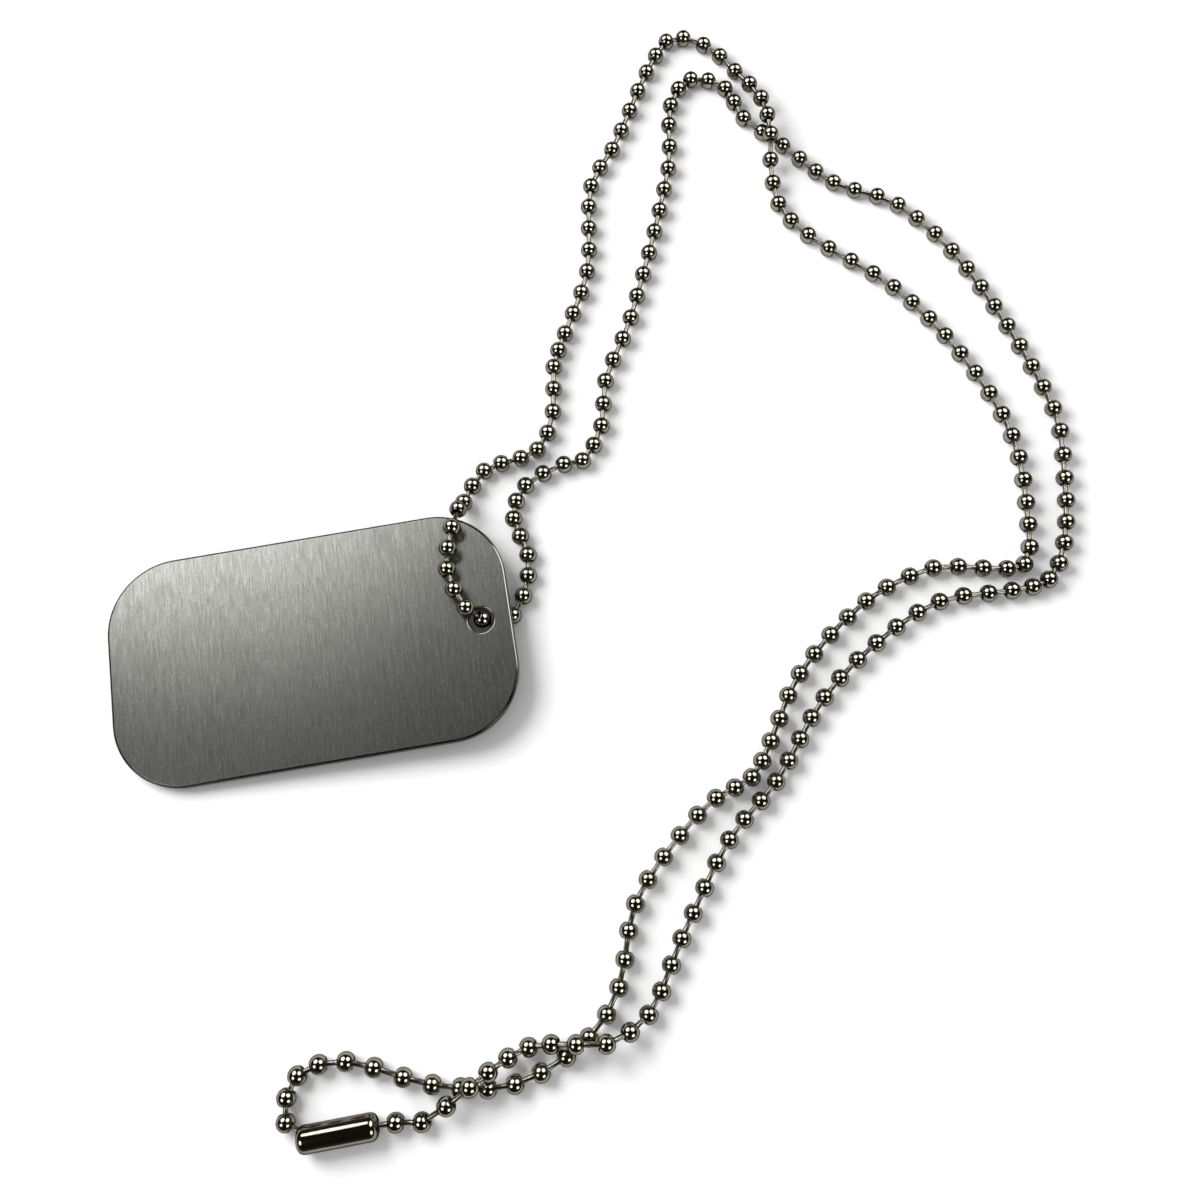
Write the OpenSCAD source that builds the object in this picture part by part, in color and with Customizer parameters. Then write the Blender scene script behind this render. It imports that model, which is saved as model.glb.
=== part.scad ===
// Tag necklace, laid flat: a brushed steel tag on a ball chain that closes in a slotted tube.
// The hollow balls sit on the heads of short pins, so the chain bends at every ball.
// X runs along the tag's length, Y across it and Z up from the surface that it lies on.
// The origin is on that surface, below the middle of the necklace.

/* [Tag] */
// Length of the tag, from the plain end to the end with the hole
tag_length = 50.8; // [46:0.1:54]
// Width of the tag
tag_width = 29.2; // [26:0.1:31]
// Thickness of the plate
tag_thickness = 1.3; // [1:0.1:1.4]
// Radius of the four corners
tag_corner_r = 9; // [6:0.5:10]
// Width of the bevel round both faces
tag_bevel = 0.35; // [0.1:0.05:0.5]
// Diameter of the hole that the chain goes through
hole_d = 3.2; // [3:0.1:3.6]
// Distance from the middle of the hole to the end of the tag
hole_inset = 3.9; // [3.6:0.1:4.4]
// Width of the bevel at the hole's rim, on both faces
hole_bevel = 0.15; // [0.05:0.05:0.3]
// Turn of the tag's long side from the X axis, in degrees
tag_turn = 9.4; // [8.4:0.1:10.4]
// Height of the plate's underside at the hole, which lies on the chain
hole_lift = 2.33; // [2.3:0.01:2.5]

/* [Chain] */
// Outer diameter of a ball
ball_d = 2.3; // [2:0.05:2.3]
// Thickness of a ball's wall
ball_wall = 0.25; // [0.15:0.05:0.3]
// Diameter of the two holes in a ball
ball_hole_d = 1; // [0.9:0.05:1.1]
// Diameter of a pin between two balls
pin_d = 0.65; // [0.4:0.05:0.7]
// Diameter of the pin heads, which hold the balls
pin_head_d = 1.15; // [1.1:0.05:1.3]

/* [Connector] */
// Length of the tube that joins the two ends of the chain
connector_length = 9.2; // [9.2:0.1:10]
// Outer diameter of the tube
connector_d = 3.2; // [3.2:0.05:3.4]
// Thickness of its wall
connector_wall = 0.3; // [0.2:0.05:0.3]
// Outer radius of its rounded ends
connector_round_r = 0.9; // [0.6:0.1:1.1]
// Width of the slot along the tube, which lets the pins in
slot_width = 0.95; // [0.95:0.05:1.1]
// Diameter of the hole in each end
end_hole_d = 1.35; // [1.35:0.05:1.4]
// Distance from an end of the tube to the middle of the ball that it holds
end_ball_inset = 1.6; // [1.6:0.05:1.8]
// Turn of the tube from the X axis, in degrees
connector_turn = 10; // [8:1:12]

/* [Hidden] */
$fn = 48;
eps = 0.01;
ball_r = ball_d / 2;
connector_r = connector_d / 2;
pin_sides = 6;
pin_head_reach = 0.45;

// Where the hole and the middle of the tube lie, on the same map as the route below
hole_at = [-12.6, 31.75];
connector_middle = [-27.4, -27.5];
connector_ball_z = 1.55;

// The tag's plain end lies on the surface
end_to_hole = tag_length - hole_inset;
tag_tilt = asin(hole_lift / end_to_hole);

// The chain's route over the surface, in the order of its balls. Each row is one ball:
// x, y, the lift of that ball above the surface, and how many balls on the next row's ball is.
clasp_loop = [
  [-33.5, -26.5, 0, 2], [-32.5, -21.5, 0, 2], [-27, -20, 0, 3],
  [-17, -22.5, 0, 3], [-7.5, -22.5, 0, 3],
];
inner_rise = [
  [1, -17.5, 0, 2], [4.5, -12, 0, 3], [6.5, -2.5, 0, 3], [12, 5.5, 0, 2],
  [16.5, 10, 0, 2], [21, 12.5, 0, 2], [23.5, 17, 0, 3], [27.5, 25.5, 0, 4],
  [36.5, 35, 0, 3], [45.5, 39.5, 0, 2], [52, 39.5, 0, 2], [57.5, 40, 0, 2],
];
inner_side = [
  [58.5, 45.5, 0, 4], [57.5, 58, 0, 4], [51.5, 70, 0, 4], [43, 80, 0, 4],
  [31.5, 88, 0, 2], [27.5, 93, 0, 2],
];
far_crossing = [
  [26.5, 99.5, 0.9, 1], [26.5, 103, 1.9, 2], [25.5, 109.5, 1.2, 2], [22, 115, 0, 2],
  [17.5, 119.5, 0, 2], [12, 120, 0, 6],
];
outer_return = [
  [4, 101.5, 0, 2], [1, 95.5, 0, 4], [0.5, 82, 0, 3], [-2.5, 72.5, 0, 2],
  [-4, 67.5, 0, 2], [-4, 61, 0, 2], [-6, 55.5, 0, 3], [-13, 52.5, 0, 2],
];
over_tag = [
  [-15.5, 48, 0.2, 1], [-16, 46.5, 2, 1], [-16.5, 43.5, 3.7, 2], [-17, 38, 3.6, 2],
  [-14.5, 33, 3.7, 1], [-12.5, 32, 1.8, 1],
];
under_tag = [
  [-10.5, 31, 0, 2], [-7.5, 35.5, 0, 2], [-7, 41, 0, 2], [-9, 45.9, 0, 2],
  [-7.5, 50.5, 0, 2], [-2.5, 53.5, 0, 1], [0, 54, 0, 2],
];
inner_return = [
  [2.5, 59, 0, 2], [3, 65.5, 0, 3], [6.5, 75, 0, 7], [12, 98.5, 0, 3],
  [12.5, 109, 0, 2], [15.5, 113.5, 0, 2], [20.5, 112, 0, 2], [23, 107, 0, 2],
];
outer_side = [
  [28.5, 102.5, 0, 3], [35.5, 96.5, 0, 3], [44.5, 93, 0, 4], [53.5, 83, 0, 7],
  [63.5, 62, 0, 3], [64, 52, 0, 3], [63, 43, 0, 2], [60.5, 38, 0, 2],
];
outer_rise = [
  [55.5, 36.5, 0, 3], [46, 35, 0, 3], [37.5, 29.5, 0, 3], [30.5, 22.5, 0, 4],
  [24, 12, 0, 3], [18, 5, 0, 4], [12, -6.5, 0, 3], [8, -15, 0, 2],
];
near_crossings = [
  [3, -18, 1.8, 1], [-0.5, -18, 1.9, 2], [-6, -18.5, 0, 2], [-10.5, -21, 1.4, 1],
  [-12.5, -22.5, 2.2, 2], [-18, -26.5, 0, 1], [-21, -26.5, 0, 1],
];

// The first and the last ball sit inside the tube
along_connector = [cos(connector_turn), sin(connector_turn)];
end_ball_reach = connector_length / 2 - end_ball_inset;
function in_connector(side) = [
  each connector_middle + side * end_ball_reach * along_connector,
  connector_ball_z - ball_r,
];
route = [
  [each in_connector(-1), 1],
  each clasp_loop, each inner_rise, each inner_side, each far_crossing,
  each outer_return, each over_tag, each under_tag, each inner_return,
  each outer_side, each outer_rise, each near_crossings,
  [each in_connector(1), 0],
];
last_row = len(route) - 1;

function place(i) = [route[i][0], route[i][1], route[i][2]];
function balls_to_next(i) = route[i][3];

// The step from ball to ball at a row, from the rows before and after it
function step_at(i) =
  let (before = max(i - 1, 0), after = min(i + 1, last_row))
  let (balls = (i > 0 ? balls_to_next(i - 1) : 0) + balls_to_next(i))
  (place(after) - place(before)) / balls;

// A smooth curve from row i to the next, where t goes from 0 to 1
function between(i, t) =
  let (n = balls_to_next(i))
  (2 * t ^ 3 - 3 * t ^ 2 + 1) * place(i) + (t ^ 3 - 2 * t ^ 2 + t) * n * step_at(i)
  + (3 * t ^ 2 - 2 * t ^ 3) * place(i + 1) + (t ^ 3 - t ^ 2) * n * step_at(i + 1);

// No ball lies lower than the surface
function seated(p) = [p.x, p.y, ball_r + max(p.z, 0)];

balls = [
  for (i = [0:last_row - 1]) for (k = [0:balls_to_next(i) - 1])
    seated(between(i, k / balls_to_next(i))),
  seated(place(last_row)),
];
last_ball = len(balls) - 1;

// The middles of the tag's corners, seen from above
tag_corners = [
  for (u = [tag_corner_r - end_to_hole, hole_inset - tag_corner_r])
    for (v = [-1, 1] * (tag_width / 2 - tag_corner_r))
      hole_at + [
        u * cos(tag_tilt) * cos(tag_turn) - v * sin(tag_turn),
        u * cos(tag_tilt) * sin(tag_turn) + v * cos(tag_turn),
      ],
];
connector_tips = [
  for (side = [-1, 1])
    connector_middle + side * (connector_length / 2 - connector_round_r) * along_connector,
];

// The middle of all that, seen from above, comes to the origin
function reach(points, axis, side, r) = max([for (p = points) side * p[axis]]) + r;
function far_side(axis, side) = max(
  reach(balls, axis, side, ball_r),
  reach(tag_corners, axis, side, tag_corner_r),
  reach(connector_tips, axis, side, connector_r)
);
to_origin = [
  (far_side(0, -1) - far_side(0, 1)) / 2,
  (far_side(1, -1) - far_side(1, 1)) / 2,
  0,
];

// The section of the plate from its middle line to a long side, bevelled above and below
module plate_section(half_width) {
  polygon([
    [0, 0],
    [half_width - tag_bevel, 0],
    [half_width, tag_bevel],
    [half_width, tag_thickness - tag_bevel],
    [half_width - tag_bevel, tag_thickness],
    [0, tag_thickness],
  ]);
}

// A bar of that section, along X, from the middle of the plate to both long sides
module plate_bar(length, width) {
  translate([-length / 2, 0, 0])
    rotate([90, 0, 90])
      linear_extrude(height = length)
        union() {
          plate_section(width / 2);
          mirror([1, 0]) plate_section(width / 2);
        }
}

module plate() {
  straight_length = tag_length - 2 * tag_corner_r;
  straight_width = tag_width - 2 * tag_corner_r;
  plate_bar(straight_length, tag_width);
  rotate([0, 0, 90]) plate_bar(straight_width, tag_length);
  for (x = [-1, 1] * straight_length / 2, y = [-1, 1] * straight_width / 2) {
    translate([x, y, 0])
      rotate_extrude($fn = 96)
        plate_section(tag_corner_r);
  }
}

module hole() {
  rim_d = hole_d + 2 * hole_bevel;
  translate([0, 0, -1])
    cylinder(h = tag_thickness + 2, d = hole_d);
  translate([0, 0, -eps])
    cylinder(h = hole_bevel + eps, d1 = rim_d + 2 * eps, d2 = hole_d);
  translate([0, 0, tag_thickness - hole_bevel])
    cylinder(h = hole_bevel + eps, d1 = hole_d, d2 = rim_d + 2 * eps);
}

// The plate is turned and tilted about its hole, until the plain end's lower edge meets the surface
module tag() {
  edge_drop = tag_bevel * sin(tag_tilt);
  color([0.66, 0.67, 0.65])
    translate(to_origin + [hole_at.x, hole_at.y, hole_lift - edge_drop])
      rotate([0, -tag_tilt, tag_turn])
        difference() {
          translate([hole_inset - tag_length / 2, 0, 0])
            plate();
          hole();
        }
}

// A cylinder from one point towards another
module rod(from, towards, d, length) {
  way = towards - from;
  translate(from)
    rotate([0, acos(way.z / norm(way)), atan2(way.y, way.x)])
      cylinder(h = length, d = d, $fn = 24);
}

// A hollow ball, with a hole towards each of its neighbours. It is turned across the chain,
// so that the seam of its round faces passes beside the holes.
module ball(i) {
  way = balls[min(i + 1, last_ball)] - balls[max(i - 1, 0)];
  difference() {
    translate(balls[i])
      rotate([0, 0, atan2(way.y, way.x) + 90])
        difference() {
          sphere(d = ball_d);
          sphere(d = ball_d - 2 * ball_wall);
        }
    for (other = [max(i - 1, 0), min(i + 1, last_ball)]) {
      if (other != i) {
        rod(balls[i], balls[other], ball_hole_d, ball_d);
      }
    }
  }
}

module ball_chain() {
  color([0.55, 0.55, 0.53])
    translate(to_origin)
      for (i = [0:last_ball]) {
        ball(i);
      }
}

// The way from a ball to the next one, and the way on from the ball before it
function unit(v) = v / norm(v);
function way_out(i) = i < last_ball ? unit(balls[i + 1] - balls[i]) : way_in(i);
function way_in(i) = i > 0 ? unit(balls[i] - balls[i - 1]) : way_out(i);

// A ring of points round a pin, square to its way
function pin_ring(middle, way, d) =
  let (across = unit(cross(way, [0, 0, 1])), up = cross(across, way))
  [for (k = [0:pin_sides - 1])
    let (a = 360 * k / pin_sides)
    middle + d / 2 * (cos(a) * across + sin(a) * up)];

// Three rings inside each ball: a pin comes in, the heads meet, and the next pin goes out
pin_points = [
  for (i = [0:last_ball])
    each [
      each pin_ring(balls[i] - pin_head_reach * way_in(i), way_in(i), pin_d),
      each pin_ring(balls[i], unit(way_in(i) + way_out(i)), pin_head_d),
      each pin_ring(balls[i] + pin_head_reach * way_out(i), way_out(i), pin_d),
    ],
];

// The pins run from ball to ball, and their heads meet inside each one
module link_pins() {
  rings = len(pin_points) / pin_sides;
  sides = [
    for (ring = [0:rings - 2], k = [0:pin_sides - 1])
      let (here = ring * pin_sides, next = here + pin_sides, k2 = (k + 1) % pin_sides)
      each [[here + k, here + k2, next + k2], [here + k, next + k2, next + k]],
  ];
  first_end = [for (k = [pin_sides - 1:-1:0]) k];
  last_end = [for (k = [0:pin_sides - 1]) (rings - 1) * pin_sides + k];
  color([0.62, 0.62, 0.6])
    translate(to_origin)
      polyhedron(points = pin_points, faces = concat(sides, [first_end, last_end]));
}

// A round bar with rounded ends, along X from its middle
module rounded_bar(length, r, round_r) {
  rotate([0, 90, 0])
    rotate_extrude()
      intersection() {
        translate([0, -length / 2]) square([r, length]);
        union() {
          translate([0, -length / 2]) square([r - round_r, length]);
          translate([0, round_r - length / 2]) square([r, length - 2 * round_r]);
          for (side = [-1, 1]) {
            translate([r - round_r, side * (length / 2 - round_r)]) circle(r = round_r);
          }
        }
      }
}

// The slot opens towards the pin that leaves the tube sideways at its left end
module connector() {
  inner_r = connector_r - connector_wall;
  inner_round_r = connector_round_r - connector_wall;
  sideways = balls[1] - balls[0];
  level = sideways.y * along_connector.x - sideways.x * along_connector.y;
  slot_angle = atan2(sideways.z, level);
  color([0.5, 0.5, 0.48])
    translate(to_origin + [connector_middle.x, connector_middle.y, connector_r])
      rotate([0, 0, connector_turn])
        difference() {
          rounded_bar(connector_length, connector_r, connector_round_r);
          rounded_bar(connector_length - 2 * connector_wall, inner_r, inner_round_r);
          translate([-connector_length / 2 - 1, 0, 0])
            rotate([0, 90, 0])
              cylinder(h = connector_length + 2, d = end_hole_d);
          rotate([slot_angle, 0, 0])
            translate([-connector_length / 2 - 1, 0, -slot_width / 2])
              cube([connector_length + 2, connector_d, slot_width]);
        }
}

tag();
ball_chain();
link_pins();
connector();
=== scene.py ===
# %% [markdown]
# # A tag necklace
#
# A blank tag of brushed steel lies on a pale floor, with the ball chain that it hangs on. The
# construction model gives every piece its place and size. These cells give each piece the shape
# of its edges and its finish. The model is loaded first, because all else is fitted to it.

import math

import bmesh
import bpy
import numpy as np
from mathutils import Matrix, Quaternion, Vector


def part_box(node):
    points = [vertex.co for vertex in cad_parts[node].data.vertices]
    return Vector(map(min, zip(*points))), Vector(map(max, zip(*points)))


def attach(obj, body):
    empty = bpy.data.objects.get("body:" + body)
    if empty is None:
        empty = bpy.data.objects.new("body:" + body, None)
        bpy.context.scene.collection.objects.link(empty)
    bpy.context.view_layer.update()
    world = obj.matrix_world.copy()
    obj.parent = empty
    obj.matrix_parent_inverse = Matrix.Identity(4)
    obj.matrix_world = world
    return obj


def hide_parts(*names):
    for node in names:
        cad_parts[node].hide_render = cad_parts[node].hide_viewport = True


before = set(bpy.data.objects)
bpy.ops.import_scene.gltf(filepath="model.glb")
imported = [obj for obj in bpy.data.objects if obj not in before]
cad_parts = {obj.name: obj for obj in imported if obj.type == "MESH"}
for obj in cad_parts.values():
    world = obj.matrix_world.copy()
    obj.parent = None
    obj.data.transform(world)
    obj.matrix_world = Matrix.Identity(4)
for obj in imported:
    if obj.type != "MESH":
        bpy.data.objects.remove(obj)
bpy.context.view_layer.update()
MM = 0.001
print("nodes:", sorted(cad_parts))

# %% [markdown]
# ## The camera
#
# The picture was taken from close above with a wide lens, so balls near the picture's edge show
# their sides. The even size of the balls and the tag's right angles give the height and the tilt.
# The lens follows from how fast the balls grow smaller towards the top of the picture.

# %% Put the camera above the necklace
CAMERA_AT = Vector((-2.72, -46.02, 137.58)) * MM
CAMERA_TILT = math.radians(14.39)
CAMERA_ROLL = math.radians(-0.96)
LENS = 33
SENSOR = 36

camera_data = bpy.data.cameras.new("camera")
camera_data.lens = LENS
camera_data.sensor_width = SENSOR
camera_data.clip_start = 1 * MM
camera = bpy.data.objects.new("camera", camera_data)
camera.location = CAMERA_AT
camera.rotation_euler = (CAMERA_TILT, CAMERA_ROLL, 0)
bpy.context.scene.collection.objects.link(camera)
bpy.context.scene.camera = camera
bpy.context.scene.view_settings.view_transform = "Standard"
print("camera", round(CAMERA_AT.z / MM, 1), "mm above the floor")

# %% [markdown]
# ## The floor
#
# The necklace lies on a plain white surface. A single large face is enough for it. It has no
# gloss, because the picture shows shadows on it but no mirror image of the steel.

# %% Lay the floor
FLOOR_SIDE = 3.0
FLOOR_WHITE = (0.82, 0.82, 0.82, 1)


def object_from(bm, name, material):
    """Turns a bmesh into an object at the origin, with its material"""
    mesh = bpy.data.meshes.new(name)
    bm.to_mesh(mesh)
    bm.free()
    piece = bpy.data.objects.new(name, mesh)
    piece.data.materials.append(material)
    bpy.context.scene.collection.objects.link(piece)
    return piece


def new_material(name, colour, roughness, metallic):
    """A material, its nodes and its shader, before any pattern is added"""
    material = bpy.data.materials.new(name)
    material.use_nodes = True
    shader = material.node_tree.nodes["Principled BSDF"]
    shader.inputs["Base Color"].default_value = colour
    shader.inputs["Roughness"].default_value = roughness
    shader.inputs["Metallic"].default_value = metallic
    return material, material.node_tree, shader


floor_white, floor_nodes, floor_shader = new_material("floor_white", FLOOR_WHITE, 1, 0)
floor_shader.inputs["Specular IOR Level"].default_value = 0
floor_bm = bmesh.new()
bmesh.ops.create_grid(floor_bm, x_segments=1, y_segments=1, size=FLOOR_SIDE / 2)
floor = object_from(floor_bm, "floor", floor_white)
print("floor", FLOOR_SIDE, "m wide")

# %% [markdown]
# ## The lights
#
# Each ball is a small round mirror, and it shows four white patches in a dark room. Four round
# area lights stand where those patches come from, and the upper two are the larger. Area lights
# are chosen because they are soft, as studio lights are, and because a mirror shows them as the
# patches that they are.

# %% Hang the four lights
LIGHT_HEIGHT = 0.4
LIGHTS = {
    # name: slope towards +X, slope towards +Y, width in metres, brightness of its face
    "upper_left": (-0.75, 0.74, 0.46, 5.2),
    "upper_right": (0.70, 0.73, 0.46, 4.8),
    "lower_left": (-0.84, -0.54, 0.27, 4.8),
    "lower_right": (0.88, -0.92, 0.32, 5.4),
}


def hang_light(name, slope_x, slope_y, width, brightness):
    """A round area light that faces the necklace, for the steel alone"""
    light = bpy.data.lights.new(name, "AREA")
    light.shape = "DISK"
    light.size = width
    face_area = math.pi * width ** 2 / 4
    light.energy = math.pi * face_area * brightness
    lamp = bpy.data.objects.new(name, light)
    lamp.location = Vector((slope_x, slope_y, 1)) * LIGHT_HEIGHT
    lamp.rotation_euler = lamp.location.to_track_quat("Z", "Y").to_euler()
    lamp.visible_diffuse = False
    bpy.context.scene.collection.objects.link(lamp)
    return lamp


for light_name, light_row in LIGHTS.items():
    hang_light(light_name, *light_row)
print(len(LIGHTS), "lights at", LIGHT_HEIGHT, "m")

# %% [markdown]
# The picture's shadows all lie the same short way to the right of their balls and a little
# below. A lamp does that when it is as high as the camera and stands to its left. It is large, so
# the shadows are soft, and it lights the floor alone, because the balls show no fifth patch. Its
# light grows with distance as much as the slant weakens it, so that the floor is evenly white.

# %% Cast the shadows
SHADOW_SIDEWAYS = Vector((-155, 115, 0)) * MM
SHADOW_LAMP_R = 0.09
SHADOW_WATTS = 35

shadow_light = bpy.data.lights.new("shadow_lamp", "POINT")
shadow_light.energy = SHADOW_WATTS
shadow_light.shadow_soft_size = SHADOW_LAMP_R
shadow_light.use_nodes = True
lamp_tree = shadow_light.node_tree
fading = lamp_tree.nodes.new("ShaderNodeLightFalloff")
fading.inputs["Strength"].default_value = 1 / CAMERA_AT.z
way_to_floor = lamp_tree.nodes.new("ShaderNodeLightPath")
evened = lamp_tree.nodes.new("ShaderNodeMath")
evened.operation = "MULTIPLY"
lamp_tree.links.new(fading.outputs["Constant"], evened.inputs[0])
lamp_tree.links.new(way_to_floor.outputs["Ray Length"], evened.inputs[1])
lamp_tree.links.new(evened.outputs["Value"], lamp_tree.nodes["Emission"].inputs["Strength"])
shadow_lamp = bpy.data.objects.new("shadow_lamp", shadow_light)
shadow_lamp.location = CAMERA_AT + SHADOW_SIDEWAYS
shadow_lamp.visible_glossy = False
bpy.context.scene.collection.objects.link(shadow_lamp)
print("shadow lamp at", [round(v / MM) for v in shadow_lamp.location], "mm")

# %% [markdown]
# The room round the lights is nearly black to the steel, which is why the balls look black
# between their highlights. It is a little lighter near the horizon, where the walls catch light
# from the floor. To the floor it gives an even soft light that fills the shadows. Where the
# camera sees past the floor's edge, the room is pale.

# %% Fill the room with soft light
ROOM_DARK = (0.024, 0.020, 0.015, 1)
ROOM_EDGE_GLOW = 5
ROOM_EDGE_TOP = 0.45
ROOM_FILL = (0.63, 0.63, 0.63, 1)
ROOM_PALE = (0.9, 0.9, 0.9, 1)

world = bpy.data.worlds.new("room")
world.use_nodes = True
room = world.node_tree
ray = room.nodes.new("ShaderNodeLightPath")
backdrop = room.nodes["Background"]
backdrop.inputs["Color"].default_value = ROOM_DARK
way_to_wall = room.nodes.new("ShaderNodeTexCoord")
wall_height = room.nodes.new("ShaderNodeSeparateXYZ")
room.links.new(way_to_wall.outputs["Generated"], wall_height.inputs[0])
glow = room.nodes.new("ShaderNodeMapRange")
glow.inputs["From Max"].default_value = ROOM_EDGE_TOP
glow.inputs["To Min"].default_value = ROOM_EDGE_GLOW
room.links.new(wall_height.outputs["Z"], glow.inputs["Value"])
room.links.new(glow.outputs["Result"], backdrop.inputs["Strength"])
shown = backdrop.outputs[0]
for ray_kind, colour in (("Is Diffuse Ray", ROOM_FILL), ("Is Camera Ray", ROOM_PALE)):
    lit = room.nodes.new("ShaderNodeBackground")
    lit.inputs["Color"].default_value = colour
    either = room.nodes.new("ShaderNodeMixShader")
    room.links.new(ray.outputs[ray_kind], either.inputs[0])
    room.links.new(shown, either.inputs[1])
    room.links.new(lit.outputs[0], either.inputs[2])
    shown = either.outputs[0]
room.links.new(shown, room.nodes["World Output"].inputs["Surface"])
bpy.context.scene.world = world
print("room of", len(room.nodes), "nodes")

# %% [markdown]
# ## The way of the chain
#
# The construction model holds all the balls as loose solids in one node. Each ball's middle is
# worked out from that node, so the finished balls lie exactly where the plain ones do. A ball's
# box won't do for that, because the holes cut it short, so a sphere is fitted to its outside.
# A dictionary holds the vertices that are left, and not a set, because it keeps their order, and
# so each run finds the very same middles.

# %% Find the balls' middles
SAME_POINT = 0.001 * MM
BALL_R = 1.15 * MM
BALL_WALL = 0.25 * MM


def loose_parts(node):
    """The points of each loose part of a node, from a merged copy of its mesh"""
    bm = bmesh.new()
    bm.from_mesh(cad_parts[node].data)
    bmesh.ops.remove_doubles(bm, verts=bm.verts, dist=SAME_POINT)
    left = dict.fromkeys(bm.verts)
    parts = []
    while left:
        part = [left.popitem()[0]]
        for vert in part:
            beside = [edge.other_vert(vert) for edge in vert.link_edges]
            beside = [other for other in beside if other in left]
            for other in beside:
                del left[other]
            part.extend(beside)
        parts.append(np.array([vert.co for vert in part]))
    bm.free()
    return parts


def sphere_middle(points):
    """The middle of the sphere that a ball's outer points lie on"""
    rough = (points.min(axis=0) + points.max(axis=0)) / 2
    away = points - rough
    outer = away[np.linalg.norm(away, axis=1) > BALL_R - BALL_WALL / 2]
    terms = np.column_stack((2 * outer, np.ones(len(outer))))
    solved = np.linalg.lstsq(terms, (outer ** 2).sum(axis=1), rcond=None)[0]
    return Vector(rough + solved[:3])


loose_balls = [sphere_middle(points) for points in loose_parts("ball_chain")]
loose_balls.sort(key=lambda middle: (middle.x, middle.y))
print(len(loose_balls), "balls found")

# %% [markdown]
# The balls are put in order by a walk from the connector's left end, always on to the ball that
# is near the last one and near the place straight ahead. That keeps to the right strand where
# two strands cross.

# %% Follow the chain from ball to ball
def inside_box(point, node):
    """Whether a point lies in a node's box"""
    low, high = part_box(node)
    return all(low[axis] < point[axis] < high[axis] for axis in range(3))


def follow_chain(middles):
    """The same middles, in order along the chain"""
    chain = [next(middle for middle in middles if inside_box(middle, "connector"))]
    left = [middle for middle in middles if middle is not chain[0]]
    ahead = chain[0]
    while left:
        nearest = min(left, key=lambda m: (m - ahead).length + (m - chain[-1]).length)
        left.remove(nearest)
        chain.append(nearest)
        ahead = 2 * chain[-1] - chain[-2]
    return chain


balls = follow_chain(loose_balls)
steps = [(b - a).length / MM for a, b in zip(balls, balls[1:])]
print(len(balls), "balls,", round(min(steps), 2), "to", round(max(steps), 2), "mm apart")

# %% [markdown]
# ## The balls
#
# Balls and pins are both round about an axis, so each is drawn as half a section and spun. They
# are spun coarse, and a Subdivision Surface modifier rounds them. That pulls a coarse cage
# inwards, so the cage starts a little larger.

# %% Draw a section and spin it
BALL_SIDES = 12


def cage_growth(step):
    """How much larger a cage is than the circle that it is rounded to, for one step's angle"""
    return 3 / (2 + math.cos(step))


def draw_path(bm, vert, places):
    """Draws on from a vertex to each place in turn, and gives the new vertices"""
    path = []
    for place in places:
        vert = bmesh.ops.extrude_vert_indiv(bm, verts=[vert])["verts"][0]
        vert.co = place
        path.append(vert)
    return path


def spin_round_z(bm, sides):
    """Spins all that is drawn a full turn about Z, and closes it"""
    grow = cage_growth(math.tau / sides)
    bmesh.ops.scale(bm, vec=(grow, grow, 1), verts=bm.verts)
    bmesh.ops.spin(bm, geom=bm.verts[:] + bm.edges[:], cent=(0, 0, 0), axis=(0, 0, 1),
                   angle=math.tau, steps=sides, use_merge=True)
    bmesh.ops.remove_doubles(bm, verts=bm.verts, dist=SAME_POINT)
    bmesh.ops.recalc_face_normals(bm, faces=bm.faces)


ball_growth = cage_growth(math.tau / BALL_SIDES)
print("a cage of", BALL_SIDES, "sides starts", round(ball_growth, 3), "times as wide")

# %% [markdown]
# A real ball is a strip of steel that is rolled round the ends of two pins, so it is hollow and
# has a hole at each end. A sphere with dark dots would not show the lips of the holes, so the
# section of the whole wall is drawn, outside and inside.

# %% Draw and spin one ball
BALL_HOLE_R = 0.5 * MM
BALL_LIP = 0.06 * MM
BALL_ARC_STEPS = 4


def spun_ball():
    """A hollow ball about the origin, with a hole at each pole"""
    bm = bmesh.new()
    rim_angle = math.asin((BALL_HOLE_R + BALL_LIP) / BALL_R)
    arc = math.pi - 2 * rim_angle
    top = Vector((math.sin(rim_angle), 0, math.cos(rim_angle))) * BALL_R
    first = bmesh.ops.create_vert(bm, co=top)["vert"][0]
    bmesh.ops.spin(bm, geom=[first], cent=(0, 0, 0), axis=(0, 1, 0),
                   angle=arc, steps=BALL_ARC_STEPS)
    grow = cage_growth(arc / BALL_ARC_STEPS)
    bmesh.ops.scale(bm, vec=(grow, grow, grow), verts=bm.verts)
    last = min(bm.verts, key=lambda vert: vert.co.z)
    inner_r = BALL_R - BALL_WALL
    inner_z = math.sqrt(inner_r ** 2 - BALL_HOLE_R ** 2)
    inside = [(BALL_HOLE_R, 0, -inner_z), (inner_r, 0, 0), (BALL_HOLE_R, 0, inner_z)]
    path = draw_path(bm, last, inside)
    bmesh.ops.contextual_create(bm, geom=[path[-1], first])
    spin_round_z(bm, BALL_SIDES)
    mesh = bpy.data.meshes.new("one_ball")
    bm.to_mesh(mesh)
    bm.free()
    return mesh


one_ball = spun_ball()
print("one ball:", len(one_ball.polygons), "faces")

# %% [markdown]
# Each ball's axis lies along the chain, and where the chain bends, each half of the ball leans
# towards its own neighbour, so that both holes meet their pins. A point of a sphere stays on the
# sphere when it turns about the middle, so the ball stays round. The vertices near the holes are
# marked, because dirt gathers there.

# %% Turn one ball along the chain
HOLE_MARK_POWER = 3


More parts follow.
